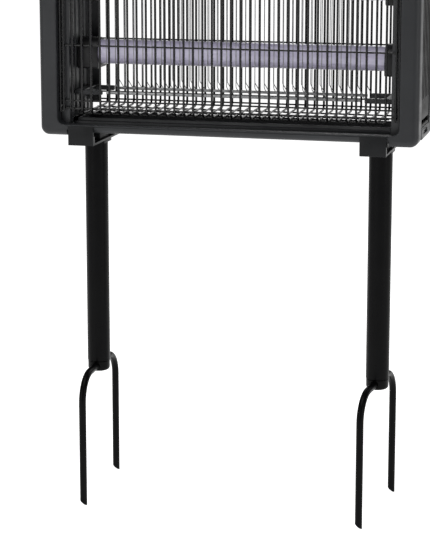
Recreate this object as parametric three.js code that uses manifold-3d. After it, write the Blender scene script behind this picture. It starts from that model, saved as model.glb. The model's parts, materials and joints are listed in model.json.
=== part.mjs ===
// Electric bug zapper: a plastic-framed insect killer with two horizontal UV tubes between two
// high-voltage wire grids, wire guards front and rear, a slide-out tray, and two clip-on legs that
// end in forked ground stakes. Millimetres, X to the object's right, Y towards its back, Z up.
// The origin is on the ground under the middle of the housing.
import * as THREE from 'three';
import { mergeGeometries, mergeVertices } from 'three/addons/utils/BufferGeometryUtils.js';
import Module from 'manifold-3d';

const wasm = await Module();
wasm.setup();

// Driving dimensions
const BASE = 400; // underside of the housing's corners
const GAP = 0.3; // clearance between touching pieces
const HOUSING = { halfWidth: 199.5, halfDepth: 52, bottom: BASE, top: BASE + 264, corner: 9 };
const OPENING = { halfWidth: 180, bottom: BASE + 11.5, top: BASE + 216, corner: 8 };
const BEZEL = { depth: 22, roundover: 6.4, wall: 2.5, chamfer: 1.2, innerDepth: 11.5 };
const STEP = { x: 169, run: 1, rise: 3.2 }; // the bezels' underside is higher between its corners
const COVER = { inset: 1, thickness: 2.5, halfDepth: 29.7, sideReach: 182 };
const PANEL = { innerX: 170, thickness: 4, halfDepth: 40, ribs: 6, ribDepth: 1, bottom: BASE + 6.2 };
// Returns along the inner panels' edges: inwards at the rear, outwards at the front beside the opening
const FLANGE = { reach: 9, thickness: 2.5, bottom: BASE + 26, outerX: 179 };
const GUARD = { wire: 2, pitch: 10, planeY: 44, rowPitch: 58, lowestRow: BASE + 36, bottom: BASE + 24.3 };
const GUARD_FLOOR = { halfWidth: 162, halfDepth: 42.6, top: BASE + 24, rows: 2 };
const VENT = { centres: [-22, -11, 0, 11, 22], width: 6, bottom: BASE + 45, top: BASE + 175 };
const SEAM = { halfLength: 27, bottom: BASE + 19.5, top: BASE + 24.5 }; // narrow slot under the vents
const GRID = {
  planeY: 22, thickness: 1.2, wire: 1.2, halfWidth: 139.7, bottom: BASE + 41.2,
  top: BASE + 200, bar: 3,
};
const LAMP = { radius: 13, wall: 1.2, shoulder: 1.5, lower: BASE + 84, spacing: 72, glassHalf: 159.5 };
const CAP = { radius: 12.6, end: 165.5, rim: 1.5, pinSpacing: 6.35, pinRadius: 1.2, pinLength: 2.6 };
const SOCKET = {
  mouth: { left: 146.9, right: 158.2 }, bore: 13.4, wall: 1.1, halfDepth: 15.5, above: 15.5,
  below: 17,
};
const ARM = { width: 6, height: 5, reach: 140, webX: 160 };
const TRAY = {
  halfDepth: 27.5, bottom: BASE + 5, height: 11.3, wall: 1.6, left: -166, right: HOUSING.halfWidth - 4.3,
  hollowEnd: 167,
};
const TRAY_LIP = { width: 2, drop: 3.1 }; // step along the tray's front and rear edges
const PULL = { thickness: 4, grooveDepth: 2.2, grooveHalfLength: 14, grooveHeight: 4 };
const RAIL = { flange: 10, thickness: 1.4, web: 9.5, halfLength: 169.4 };
const CHASSIS = { bottom: BASE + 216.3, thickness: 1.5, halfDepth: 40, halfWidth: 187 };
const LEG = { x: 154, outerRadius: 12.3, wall: 1.5, bottom: BASE - 254, top: BASE - 13 };
const CLIP = { width: 27.2, sheet: 2.2, lip: 4, top: BASE + 10.4, bottom: BASE - 9.8, shelf: BASE - 0.4 };
const POST = { halfWidth: 9, halfDepth: 16, top: BASE + 2.9 };
const LEG_SCREW = { radius: 3, hole: 3.3, head: POST.top - 1.7, foot: CLIP.bottom - 12 };
const COLLAR = { height: 2.9, halfWidth: 12.8, spigot: 20, spigotRadius: 10.4 };
// The fork's bore is turned by boreTurn radians about its axis
const PLUG = { rimInset: 0.4, taper: 2.5, below: 1.6, insert: 16, boreTurn: 0.1 };
const FORK = { rod: 4.2, tineY: 62, bend: 28, crossZ: BASE - 259, tipSlope: 0.7 };
const LEG_TURN = { left: 0.012, right: -0.122 }; // how far each fork is turned about its leg, radians
const ROD_SIDES = 8; // bent rods are octagonal, flats facing front, back and sides
const ROD_FLAT = Math.cos(Math.PI / ROD_SIDES); // a rod's reach to its flats, as a share of its radius
const BAIL = { rod: 2, halfWidth: 55, height: 46, bend: 6, pivotHeight: 6.5, lugInset: 11, endInset: 16 };
const LUG = { halfLength: 3, halfWidth: 7, above: 5 };
const ROCKER = { x: 120, halfLength: 9, halfWidth: 5.5, height: 3.4, depth: 7, tilt: Math.PI / 22 };
const SWITCH = { flange: 3, flangeHeight: 1.4, sleeve: 1, hole: 1.4 };
const GLAND = {
  x: -140, bore: 3.4, sleeve: 6, hole: 6.3, flange: 9.5, nut: 7, below: 8, flangeTop: 6,
  nutFoot: 8, top: 15,
};
const BALLAST = {
  left: -60, right: 20, halfDepth: 18, height: 30, footReach: 12, footHalfDepth: 14,
  footHeight: 2,
};
const BOARD = { left: 45, right: 105, halfDepth: 20, thickness: 1.6 };
const CAPACITOR = { lefts: [52, 64, 76], length: 8, front: -16, back: -4, height: 14 };
const TRANSFORMER = { left: 84, right: 102, front: 0, back: 16, height: 18 };
const STARTER = { leftX: -165, rightX: -105, radius: 10.7, height: 33, chamfer: 2.6 };
const TERMINALS = {
  left: 130, right: 166, halfDepth: 8, height: 14, count: 3, pitch: 11, groove: 8,
  grooveFloor: 9,
};
const SCREW = {
  x: 187.6, levels: [['lower', BASE + 60], ['upper', BASE + 235]], shank: 1.8, length: 12,
  head: 3.8,
};
const SCREW_HOLE = { radius: 2.2, sunkRadius: 4.2, sunk: 1.6 };
const SIDES = [['left', -1], ['right', 1]];

const FINISH = {
  satinBlack: { color: 0x24262a, roughness: 0.42, metalness: 0 },
  sideGrey: { color: 0x3a3836, roughness: 0.5, metalness: 0 },
  wireBlack: { color: 0x0d0e10, roughness: 0.3, metalness: 0.2 },
  powderCoat: { color: 0x111214, roughness: 0.36, metalness: 0.1 },
  steel: { color: 0xb9bcbe, roughness: 0.32, metalness: 0.9 },
  lavenderGlass: { color: 0xb9b2d6, roughness: 0.12, metalness: 0 },
  aluminium: { color: 0xc8cacc, roughness: 0.35, metalness: 0.9 },
  whitePlastic: { color: 0xe6e4de, roughness: 0.5, metalness: 0 },
  boardGreen: { color: 0x2c5a3a, roughness: 0.55, metalness: 0 },
  copperBrown: { color: 0x7a4a26, roughness: 0.45, metalness: 0.3 },
  switchRed: { color: 0x9c1f1b, roughness: 0.35, metalness: 0 },
};

const object = new THREE.Group();

function addMesh(name, geometry, finish) {
  const mesh = new THREE.Mesh(geometry, new THREE.MeshStandardMaterial(FINISH[finish]));
  mesh.name = name;
  object.add(mesh);
  return mesh;
}

// Solids: closed geometry to and from the boolean library
function toSolid(geometry) {
  const bare = new THREE.BufferGeometry();
  bare.setAttribute('position', geometry.attributes.position.clone());
  if (geometry.index) bare.setIndex(geometry.index.clone());
  const merged = mergeVertices(bare, 1e-4);
  const mesh = new wasm.Mesh({
    numProp: 3,
    vertProperties: new Float32Array(merged.attributes.position.array),
    triVerts: new Uint32Array(merged.index.array),
  });
  return new wasm.Manifold(mesh);
}

function fromSolid(solid) {
  const mesh = solid.getMesh();
  const geometry = new THREE.BufferGeometry();
  geometry.setAttribute('position', new THREE.BufferAttribute(new Float32Array(mesh.vertProperties), 3));
  geometry.setIndex(new THREE.BufferAttribute(new Uint32Array(mesh.triVerts), 1));
  geometry.computeVertexNormals();
  return geometry;
}

function join(...geometries) {
  return fromSolid(geometries.map(toSolid).reduce((whole, piece) => whole.add(piece)));
}

function cut(body, ...tools) {
  return fromSolid(tools.map(toSolid).reduce((whole, tool) => whole.subtract(tool), toSolid(body)));
}

function common(body, other) {
  return fromSolid(toSolid(body).intersect(toSolid(other)));
}

// A block given by its lowest and highest corners
function block(x0, x1, y0, y1, z0, z1) {
  const geometry = new THREE.BoxGeometry(x1 - x0, y1 - y0, z1 - z0);
  return geometry.translate((x0 + x1) / 2, (y0 + y1) / 2, (z0 + z1) / 2);
}

// An outline in the X-Z plane, extruded along Y from y0 to y1
function extrudeY(shape, y0, y1) {
  const geometry = new THREE.ExtrudeGeometry(shape, { depth: y1 - y0, bevelEnabled: false,
    curveSegments: 6 });
  return geometry.rotateX(Math.PI / 2).translate(0, y1, 0);
}

// An outline in the X-Y plane, extruded along Z from z0 to z1
function extrudeZ(shape, z0, z1, curveSegments = 6) {
  const geometry = new THREE.ExtrudeGeometry(shape, { depth: z1 - z0, bevelEnabled: false, curveSegments });
  return geometry.translate(0, 0, z0);
}

// An outline in the Y-Z plane, extruded along X from x0 to x1
function extrudeX(shape, x0, x1) {
  const geometry = new THREE.ExtrudeGeometry(shape, { depth: x1 - x0, bevelEnabled: false,
    curveSegments: 6 });
  return geometry.rotateX(Math.PI / 2).rotateZ(Math.PI / 2).translate(x0, 0, 0);
}

function outline(points) {
  return new THREE.Shape(points.map(([a, b]) => new THREE.Vector2(a, b)));
}

// A solid of revolution about an axis parallel to X; the profile is [radius, distance] pairs
function turnedAlongX(profile, segments = 16) {
  const points = profile.map(([radius, distance]) => new THREE.Vector2(radius, distance));
  return new THREE.LatheGeometry(points, segments).rotateZ(-Math.PI / 2);
}

// A solid of revolution about an axis parallel to Z
function turnedAlongZ(profile, segments = 16) {
  const points = profile.map(([radius, distance]) => new THREE.Vector2(radius, distance));
  return new THREE.LatheGeometry(points, segments).rotateX(Math.PI / 2);
}

// Points around a rounded rectangle in the X-Z plane, counter-clockwise; the middle of its underside
// is lifted by rise
function roundedLoop({ halfWidth, bottom, top, corner }, y, rise = 0) {
  const steps = 4;
  const centres = [
    [halfWidth - corner, top - corner],
    [-halfWidth + corner, top - corner],
    [-halfWidth + corner, bottom + corner],
    [halfWidth - corner, bottom + corner],
  ];
  const points = [];
  centres.forEach(([cx, cz], quarter) => {
    for (let step = 0; step <= steps; step += 1) {
      const angle = (quarter + step / steps) * Math.PI / 2;
      points.push([cx + corner * Math.cos(angle), y, cz + corner * Math.sin(angle)]);
    }
    if (quarter === 2) {
      const { x, run } = STEP;
      points.push([-x - run, y, bottom], [-x, y, bottom + rise]);
      points.push([x, y, bottom + rise], [x + run, y, bottom]);
    }
  });
  return points;
}

function grow({ halfWidth, bottom, top, corner }, by) {
  return { halfWidth: halfWidth + by, bottom: bottom - by, top: top + by, corner: corner + by };
}

// A closed ring: each loop is joined to the next, and the last to the first
function ringOfLoops(loops) {
  const count = loops[0].length;
  const positions = loops.flat(2);
  const index = [];
  loops.forEach((_, row) => {
    const next = (row + 1) % loops.length;
    for (let i = 0; i < count; i += 1) {
      const j = (i + 1) % count;
      const [a, b, c, d] = [row * count + i, row * count + j, next * count + j, next * count + i];
      index.push(a, b, c, a, c, d);
    }
  });
  const geometry = new THREE.BufferGeometry();
  geometry.setAttribute('position', new THREE.BufferAttribute(new Float32Array(positions), 3));
  geometry.setIndex(index);
  const solid = toSolid(geometry);
  if (solid.volume() > 0) return geometry;
  for (let i = 0; i < index.length; i += 3) [index[i], index[i + 1]] = [index[i + 1], index[i]];
  geometry.setIndex(index);
  return geometry;
}

// Housing: front and rear bezels, whose underside is lower at the corners, where the housing can stand
function bezel() {
  const front = -HOUSING.halfDepth;
  const back = front + BEZEL.depth;
  const innerBack = front + BEZEL.innerDepth;
  const { roundover, wall, chamfer } = BEZEL;
  const outerLoop = (inward, y) => roundedLoop(grow(HOUSING, -inward), y, STEP.rise);
  const loops = [
    roundedLoop(OPENING, front + chamfer),
    roundedLoop(grow(OPENING, chamfer), front),
  ];
  for (const angle of [0, Math.PI / 6, Math.PI / 3, Math.PI / 2]) {
    loops.push(outerLoop(roundover * (1 - Math.sin(angle)), front + roundover * (1 - Math.cos(angle))));
  }
  loops.push(outerLoop(0, back), outerLoop(wall, back), outerLoop(wall, front + roundover));
  loops.push(roundedLoop(grow(OPENING, wall), front + wall));
  loops.push(roundedLoop(grow(OPENING, wall), innerBack));
  loops.push(roundedLoop(OPENING, innerBack));
  return ringOfLoops(loops);
}

// The rear bezel is drilled and counterbored for four screws
const SCREW_PLACES = [];
for (const [sideName, side] of SIDES) {
  for (const [levelName, z] of SCREW.levels) {
    SCREW_PLACES.push({ name: `rear_screw_${levelName}_${sideName}`, x: side * SCREW.x, z });
  }
}

// A solid of revolution about Y at a screw's place; distances are from the rear face
function turnedAtScrew(profile, { x, z }) {
  return turnedAlongX(profile, 12).rotateZ(Math.PI / 2).translate(x, HOUSING.halfDepth, z);
}

function rearBezel() {
  const { radius, sunkRadius, sunk } = SCREW_HOLE;
  const profile = [[0, -SCREW.length], [radius, -SCREW.length], [radius, -sunk], [sunkRadius, -sunk],
    [sunkRadius, 1], [0, 1]];
  return cut(bezel().rotateZ(Math.PI), ...SCREW_PLACES.map((place) => turnedAtScrew(profile, place)));
}

addMesh('front_bezel', bezel(), 'satinBlack');
addMesh('rear_bezel', rearBezel(), 'satinBlack');

// Covers between the bezels: one band, parted into two side covers and a top cover
function coverBand() {
  const outer = grow(HOUSING, -COVER.inset);
  const inner = grow(HOUSING, -COVER.inset - COVER.thickness);
  return ringOfLoops([
    roundedLoop(outer, -COVER.halfDepth),
    roundedLoop(outer, COVER.halfDepth),
    roundedLoop(inner, COVER.halfDepth),
    roundedLoop(inner, -COVER.halfDepth),
  ]);
}

function sideCover(side) {
  const { halfWidth, halfDepth } = HOUSING;
  const between = (a, b) => [side * a, side * b].sort((low, high) => low - high);
  const [x0, x1] = between(COVER.sideReach, halfWidth + 1);
  const band = common(coverBand(), block(x0, x1, -halfDepth, halfDepth, BASE, HOUSING.top));
  const [wall0, wall1] = between(halfWidth - HOUSING.corner, halfWidth + 1);
  const tools = VENT.centres.map((y) => block(wall0, wall1, y - VENT.width / 2, y + VENT.width / 2,
    VENT.bottom, VENT.top));
  tools.push(block(wall0, wall1, -SEAM.halfLength, SEAM.halfLength, SEAM.bottom, SEAM.top));
  if (side > 0) {
    const reach = TRAY.halfDepth + GAP;
    tools.push(block(x0 - 1, x1, -reach, reach, TRAY.bottom - GAP, TRAY.bottom + TRAY.height + GAP));
  }
  return cut(band, ...tools);
}

addMesh('left_side_cover', sideCover(-1), 'sideGrey');
addMesh('right_side_cover', sideCover(1), 'sideGrey');

const COVER_TOP = HOUSING.top - COVER.inset;

function topCover() {
  const reach = COVER.sideReach - GAP;
  const band = common(coverBand(), block(-reach, reach, -HOUSING.halfDepth, HOUSING.halfDepth,
    CHASSIS.bottom, HOUSING.top));
  const { x, halfLength, halfWidth, depth } = ROCKER;
  const [holeX, holeY] = [halfLength + SWITCH.hole, halfWidth + SWITCH.hole];
  const rockerHole = block(x - holeX, x + holeX, -holeY, holeY, COVER_TOP - depth, COVER_TOP + 1);
  const glandHole = new THREE.CylinderGeometry(GLAND.hole, GLAND.hole, GLAND.below, 12).rotateX(Math.PI / 2)
    .translate(GLAND.x, 0, COVER_TOP);
  return cut(band, rockerHole, glandHole);
}

addMesh('top_cover', topCover(), 'sideGrey');

// Inner lamp panels: ribbed plates that carry the lamp sockets and the grid insulators, notched for the tray
function innerPanel(side) {
  const { innerX, thickness, halfDepth, ribs, ribDepth } = PANEL;
  const points = [[innerX + thickness, -halfDepth], [innerX + thickness, halfDepth], [innerX, halfDepth]];
  const ribPitch = (2 * halfDepth) / ribs;
  for (let rib = ribs - 1; rib >= 0; rib -= 1) {
    const start = -halfDepth + rib * ribPitch;
    points.push([innerX, start + ribPitch * 0.75]);
    points.push([innerX + ribDepth, start + ribPitch * 0.7]);
    points.push([innerX + ribDepth, start + ribPitch * 0.3]);
    points.push([innerX, start + ribPitch * 0.25]);
  }
  points.push([innerX, -halfDepth]);
  const slotY = TRAY.halfDepth + 1;
  const traySlot = block(innerX - 1, innerX + thickness + 1, -slotY, slotY, BASE,
    TRAY.bottom + TRAY.height + GAP);
  const top = CHASSIS.bottom - GAP;
  const rear = side * halfDepth; // the left panel is turned end for end, which swaps its front and rear
  const [y0, y1] = [rear, rear - side * FLANGE.thickness].sort((a, b) => a - b);
  const flange = block(innerX - FLANGE.reach, innerX + thickness / 2, y0, y1, FLANGE.bottom, top);
  const [y2, y3] = [-rear, -rear + side * FLANGE.thickness].sort((a, b) => a - b);
  const closure = block(innerX + thickness / 2, FLANGE.outerX, y2, y3, PANEL.bottom, top);
  const panel = join(cut(extrudeZ(outline(points), PANEL.bottom, top), traySlot), flange, closure);
  return side > 0 ? panel : panel.rotateZ(Math.PI);
}

addMesh('left_inner_panel', innerPanel(-1), 'satinBlack');
addMesh('right_inner_panel', innerPanel(1), 'satinBlack');

// Wire grilles: a flat slab with one rectangular window between each pair of wires
function grille(columns, rows, slab) {
  const windows = [];
  for (let row = 0; row + 1 < rows.length; row += 1) {
    for (let column = 0; column + 1 < columns.length; column += 1) {
      const a = [columns[column].high, columns[column + 1].low];
      windows.push(slab(a[0], a[1], rows[row].high, rows[row + 1].low, 1));
    }
  }
  const whole = slab(columns[0].low, columns.at(-1).high, rows[0].low, rows.at(-1).high, 0);
  return cut(whole, mergeGeometries(windows));
}

// Slabs for a grille that faces Y and for one that faces Z; extra makes a window's tool thicker
function uprightSlab(y, halfThickness) {
  return (a0, a1, b0, b1, extra) => block(a0, a1, y - halfThickness - extra, y + halfThickness + extra,
    b0, b1);
}

function levelSlab(z, halfThickness) {
  return (a0, a1, b0, b1, extra) => block(a0, a1, b0, b1, z - halfThickness - extra,
    z + halfThickness + extra);
}

function wiresAt(positions, width) {
  return positions.map((at) => ({ low: at - width / 2, high: at + width / 2 }));
}

function evenPositions(halfSpan, pitch) {
  const count = Math.floor((halfSpan - pitch / 2) / pitch) * 2 + 2;
  return Array.from({ length: count }, (_, i) => (i - (count - 1) / 2) * pitch);
}

// Front and rear guards: upright wires at an even pitch, welded to level wires
function guard(y) {
  const { wire, pitch, rowPitch, lowestRow, bottom } = GUARD;
  const edge = OPENING.halfWidth - GAP - wire / 2;
  const columns = wiresAt([-edge, ...evenPositions(edge - wire, pitch), edge], wire);
  const levels = [bottom + wire / 2];
  for (let z = lowestRow; z < OPENING.top - rowPitch / 4; z += rowPitch) levels.push(z);
  levels.push(OPENING.top - GAP - wire / 2);
  const flat = grille(columns, wiresAt(levels, wire), uprightSlab(y, wire / 2));
  const corners = roundedLoop(grow(OPENING, -GAP), y).map(([x, , z]) => [x, z]);
  return common(flat, extrudeY(outline(corners), y - wire, y + wire));
}

addMesh('front_guard', guard(-GUARD.planeY), 'wireBlack');
addMesh('rear_guard', guard(GUARD.planeY), 'wireBlack');

function guardFloor() {
  const { halfWidth, halfDepth, top, rows } = GUARD_FLOOR;
  const edge = halfWidth - GUARD.wire / 2;
  const columns = wiresAt([-edge, ...evenPositions(edge - GUARD.wire, GUARD.pitch), edge], GUARD.wire);
  const outerRow = halfDepth - GUARD.wire / 2;
  const levels = Array.from({ length: rows + 1 }, (_, i) => -outerRow + (2 * outerRow * i) / rows);
  return grille(columns, wiresAt(levels, GUARD.wire), levelSlab(top - GUARD.wire / 2, GUARD.wire / 2));
}

addMesh('guard_floor', guardFloor(), 'wireBlack');

// High-voltage grids: upright wires between a lower and an upper bar
function highVoltageGrid(y) {
  const { thickness, wire, halfWidth, bottom, top, bar } = GRID;
  const columns = wiresAt(evenPositions(halfWidth, GUARD.pitch), wire);
  const rows = [{ low: bottom, high: bottom + bar }, { low: top - bar, high: top }];
  return grille(columns, rows, uprightSlab(y, thickness / 2));
}

addMesh('hv_grid_front', highVoltageGrid(-GRID.planeY), 'steel');
addMesh('hv_grid_rear', highVoltageGrid(GRID.planeY), 'steel');

// Insulators: a U-shaped bracket on the inner panel with one arm to each grid
function insulator(side, z) {
  const { width, height, reach, webX } = ARM;
  const outer = GRID.planeY + width / 2;
  const inner = GRID.planeY - width / 2;
  const panelX = PANEL.innerX - GAP;
  const shape = outline([
    [reach, -outer], [panelX, -outer], [panelX, outer], [reach, outer],
    [reach, inner], [webX, inner], [webX, -inner], [reach, -inner],
  ]);
  const bracket = extrudeZ(shape, z - height / 2, z + height / 2);
  return side > 0 ? bracket : bracket.rotateZ(Math.PI);
}

const GRID_ENDS = [['lower', GRID.bottom + GRID.bar / 2], ['upper', GRID.top - GRID.bar / 2]];
for (const [sideName, side] of SIDES) {
  for (const [levelName, z] of GRID_ENDS) {
    addMesh(`insulator_${levelName}_${sideName}`, insulator(side, z), 'satinBlack');
  }
}

// UV tubes: glass with rounded shoulders, a metal cap with two pins at each end
function lampGlass() {
  const { radius, wall, shoulder, glassHalf } = LAMP;
  const bore = radius - wall;
  const endRadius = radius - shoulder / 2;
  return turnedAlongX([
    [bore, -glassHalf], [endRadius, -glassHalf], [radius, -glassHalf + shoulder],
    [radius, glassHalf - shoulder], [endRadius, glassHalf], [bore, glassHalf], [bore, -glassHalf],
  ], 20);
}

function lampCap(side) {
  const { radius, end, rim, pinSpacing, pinRadius, pinLength } = CAP;
  const start = LAMP.glassHalf + GAP;
  const cup = turnedAlongX([[0, start], [radius, start], [radius, end - rim], [radius - rim, end], [0, end]]);
  const pins = [-1, 1].map((way) => {
    const pin = turnedAlongX([[0, end - 1], [pinRadius, end - 1], [pinRadius, end + pinLength],
      [0, end + pinLength]], 8);
    return pin.translate(0, 0, way * pinSpacing);
  });
  const cap = join(cup, ...pins);
  return side > 0 ? cap : cap.rotateZ(Math.PI);
}

// Lamp sockets: a housing with an arched top and a round recess that takes the cap
function lampSocket(sideName, side) {
  const { mouth, bore, wall, halfDepth, above, below } = SOCKET;
  const start = mouth[sideName];
  const end = PANEL.innerX - GAP;
  const shape = new THREE.Shape();
  shape.moveTo(-halfDepth, -below);
  shape.lineTo(halfDepth, -below);
  shape.lineTo(halfDepth, 0);
  shape.absellipse(0, 0, halfDepth, above, 0, Math.PI, false);
  const body = extrudeX(shape, start, end);
  const recess = turnedAlongX([[0, start - 1], [bore, start - 1], [bore, end - wall], [0, end - wall]], 20);
  const socket = cut(body, recess);
  return side > 0 ? socket : socket.rotateZ(Math.PI);
}

const LAMPS = [['lower', LAMP.lower], ['upper', LAMP.lower + LAMP.spacing]];
for (const [levelName, z] of LAMPS) {
  addMesh(`lamp_${levelName}`, lampGlass(), 'lavenderGlass').position.z = z;
  for (const [sideName, side] of SIDES) {
    addMesh(`lamp_${levelName}_cap_${sideName}`, lampCap(side), 'aluminium').position.z = z;
    addMesh(`socket_${levelName}_${sideName}`, lampSocket(sideName, side), 'whitePlastic').position.z = z;
  }
}

// Collection tray: an open channel with a stepped front and rear lip, closed at both ends
function collectionTray() {
  const { halfDepth, bottom, height, wall, left, right, hollowEnd } = TRAY;
  const { width, drop } = TRAY_LIP;
  const top = bottom + height;
  const body = block(left, right, -halfDepth, halfDepth, bottom, top);
  const hollowY = halfDepth - wall - width;
  const hollow = block(left + wall, hollowEnd, -hollowY, hollowY, bottom + wall, top + 1);
  const steps = [-1, 1].map((way) => {
    const [y0, y1] = [way * (halfDepth - width), way * (halfDepth + 1)].sort((a, b) => a - b);
    return block(left - 1, hollowEnd, y0, y1, top - drop, top + 1);
  });
  return cut(body, hollow, ...steps);
}

function trayPull() {
  const { thickness, grooveDepth, grooveHalfLength, grooveHeight } = PULL;
  const x = TRAY.right + GAP;
  const middle = TRAY.bottom + TRAY.height / 2;
  const plate = block(x, x + thickness, -TRAY.halfDepth, TRAY.halfDepth, TRAY.bottom,
    TRAY.bottom + TRAY.height);
  const groove = block(x + thickness - grooveDepth, x + thickness + 1, -grooveHalfLength, grooveHalfLength,
    middle - grooveHeight / 2, middle + grooveHeight / 2);
  return cut(plate, groove);
}

addMesh('collection_tray', collectionTray(), 'satinBlack');
addMesh('tray_pull', trayPull(), 'satinBlack');

// Tray rails: angle strips under the tray's front and rear edges
function trayRail(way) {
  const { flange, thickness, web, halfLength } = RAIL;
  const outer = TRAY.halfDepth + GAP + thickness;
  const under = TRAY.bottom - GAP - thickness;
  const shape = outline([
    [outer - flange, under], [outer, under], [outer, under + web],
    [outer - thickness, under + web], [outer - thickness, under + thickness], [outer - flange,
      under + thickness],
  ]);
  const rail = extrudeX(shape, -halfLength, halfLength);
  return way > 0 ? rail : rail.rotateZ(Math.PI);
}

addMesh('tray_rail_front', trayRail(-1), 'satinBlack');
addMesh('tray_rail_rear', trayRail(1), 'satinBlack');

// Electrics in the top of the housing
function chassisPlate() {
  const { bottom, thickness, halfDepth, halfWidth } = CHASSIS;
  return block(-halfWidth, halfWidth, -halfDepth, halfDepth, bottom, bottom + thickness);
}

const CHASSIS_TOP = CHASSIS.bottom + CHASSIS.thickness + GAP;

function ballast() {
  const { left, right, halfDepth, height, footReach, footHalfDepth, footHeight } = BALLAST;
  const core = block(left, right, -halfDepth, halfDepth, CHASSIS_TOP, CHASSIS_TOP + height);
  const foot = block(left - footReach, right + footReach, -footHalfDepth, footHalfDepth,
    CHASSIS_TOP, CHASSIS_TOP + footHeight);
  return join(core, foot);
}

function boostBoard() {
  const { left, right, halfDepth, thickness } = BOARD;
  const seat = CHASSIS_TOP + thickness / 2;
  const board = block(left, right, -halfDepth, halfDepth, CHASSIS_TOP, CHASSIS_TOP + thickness);
  const capacitors = CAPACITOR.lefts.map((x) => block(x, x + CAPACITOR.length, CAPACITOR.front,
    CAPACITOR.back,
    seat, CHASSIS_TOP + CAPACITOR.height));
  const transformer = block(TRANSFORMER.left, TRANSFORMER.right, TRANSFORMER.front, TRANSFORMER.back,
    seat, CHASSIS_TOP + TRANSFORMER.height);
  return join(board, ...capacitors, transformer);
}

function starter(x) {
  const { radius, height, chamfer } = STARTER;
  const profile = [[0, 0], [radius, 0], [radius, height - chamfer], [radius - chamfer, height], [0, height]];
  return turnedAlongZ(profile, 14).translate(x, 0, CHASSIS_TOP);
}

function terminalBlock() {
  const { left, right, halfDepth, height, count, pitch, groove, grooveFloor } = TERMINALS;
  const body = block(left, right, -halfDepth, halfDepth, CHASSIS_TOP, CHASSIS_TOP + height);
  const first = (left + right - (count - 1) * pitch - groove) / 2;
  const grooves = Array.from({ length: count }, (_, i) => block(first + i * pitch, first + i * pitch + groove,
    -halfDepth - 1, halfDepth + 1, CHASSIS_TOP + grooveFloor, CHASSIS_TOP + height + 1));
  return cut(body, ...grooves);
}

addMesh('chassis_plate', chassisPlate(), 'steel');
addMesh('ballast', ballast(), 'steel');
addMesh('boost_board', boostBoard(), 'boardGreen');
addMesh('starter_left', starter(STARTER.leftX), 'aluminium');
addMesh('starter_right', starter(STARTER.rightX), 'aluminium');
addMesh('terminal_block', terminalBlock(), 'whitePlastic');

// Power switch: a rectangular frame in the top cover and a rocker that tips about Y
function switchFrame() {
  const { x, halfLength, halfWidth, height, depth } = ROCKER;
  const around = (margin, z0, z1) => block(x - halfLength - margin, x + halfLength + margin,
    -halfWidth - margin, halfWidth + margin, z0, z1);
  const seat = COVER_TOP + GAP;
  const flange = around(SWITCH.flange, seat, seat + SWITCH.flangeHeight);
  const sleeve = around(SWITCH.sleeve, COVER_TOP - depth, seat + SWITCH.flangeHeight / 2);
  const window = around(GAP, COVER_TOP - depth - 1, COVER_TOP + height);
  return cut(join(flange, sleeve), window);
}

function switchRocker() {
  const { halfLength, halfWidth, height } = ROCKER;
  const length = halfLength - 0.7; // room to tip inside the frame
  const [endDrop, middleDrop, dip] = [1, 3.4, 1.3];
  const shape = outline([[-length, -endDrop], [0, -middleDrop], [length, -endDrop], [length, height],
    [0, height - dip], [-length, height]]);
  return extrudeY(shape, -halfWidth + GAP, halfWidth - GAP);
}

addMesh('switch_frame', switchFrame(), 'satinBlack');
const rocker = addMesh('switch_rocker', switchRocker(), 'switchRed');
rocker.position.set(ROCKER.x, 0, COVER_TOP);
rocker.rotation.y = ROCKER.tilt;

// Inlet gland for the supply lead
function cableGland() {
  const { bore, sleeve, flange, nut, below, flangeTop, nutFoot, top } = GLAND;
  const profile = [[bore, -below], [sleeve, -below], [sleeve, GAP], [flange, GAP], [flange, flangeTop],
    [nut, nutFoot], [sleeve, top], [bore, top], [bore, -below]];
  return turnedAlongZ(profile, 12).translate(GLAND.x, 0, COVER_TOP);
}

addMesh('cable_gland', cableGland(), 'satinBlack');

// Hanging bail: a wire loop on two pivot lugs
const BAIL_Z = COVER_TOP + BAIL.pivotHeight;

function bailLug(side) {
  const x = side * (BAIL.halfWidth - BAIL.lugInset);
  const { halfLength, halfWidth, above } = LUG;
  const body = block(x - halfLength, x + halfLength, -halfWidth, halfWidth, COVER_TOP + GAP, BAIL_Z + above);
  const bore = new THREE.CylinderGeometry(BAIL.rod + GAP, BAIL.rod + GAP, 4 * halfLength, 12)
    .rotateZ(Math.PI / 2).translate(x, 0, BAIL_Z);
  return cut(body, bore);
}

// A path through straight stretches and rounded corners, with one sample at each of its points
class BentPath extends THREE.Curve {
  constructor(corners, bend, bendSteps) {
    super();
    this.points = [corners[0]];
    for (let i = 1; i + 1 < corners.length; i += 1) {
      const back = corners[i - 1].clone().sub(corners[i]).normalize().multiplyScalar(bend);
      const ahead = corners[i + 1].clone().sub(corners[i]).normalize().multiplyScalar(bend);
      const arc = new THREE.QuadraticBezierCurve3(
        corners[i].clone().add(back), corners[i], corners[i].clone().add(ahead));
      this.points.push(...arc.getPoints(bendSteps));
    }
    this.points.push(corners.at(-1));
  }

  get steps() {
    return this.points.length - 1;
  }

  getPointAt(u) {
    return this.points[Math.round(u * this.steps)].clone();
  }

  getTangentAt(u) {
    const i = Math.round(u * this.steps);
    const before = this.points[Math.max(i - 1, 0)];
    const after = this.points[Math.min(i + 1, this.steps)];
    return after.clone().sub(before).normalize();
  }
}

function bentRod(corners, bend, radius, bendSteps) {
  const path = new BentPath(corners, bend, bendSteps);
  const section = outline(Array.from({ length: ROD_SIDES }, (_, i) => {
    const angle = ((i + 0.5) / ROD_SIDES) * Math.PI * 2;
    return [radius * Math.cos(angle), radius * Math.sin(angle)];
  }));
  return new THREE.ExtrudeGeometry(section, { steps: path.steps, bevelEnabled: false, extrudePath: path });
}

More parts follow.
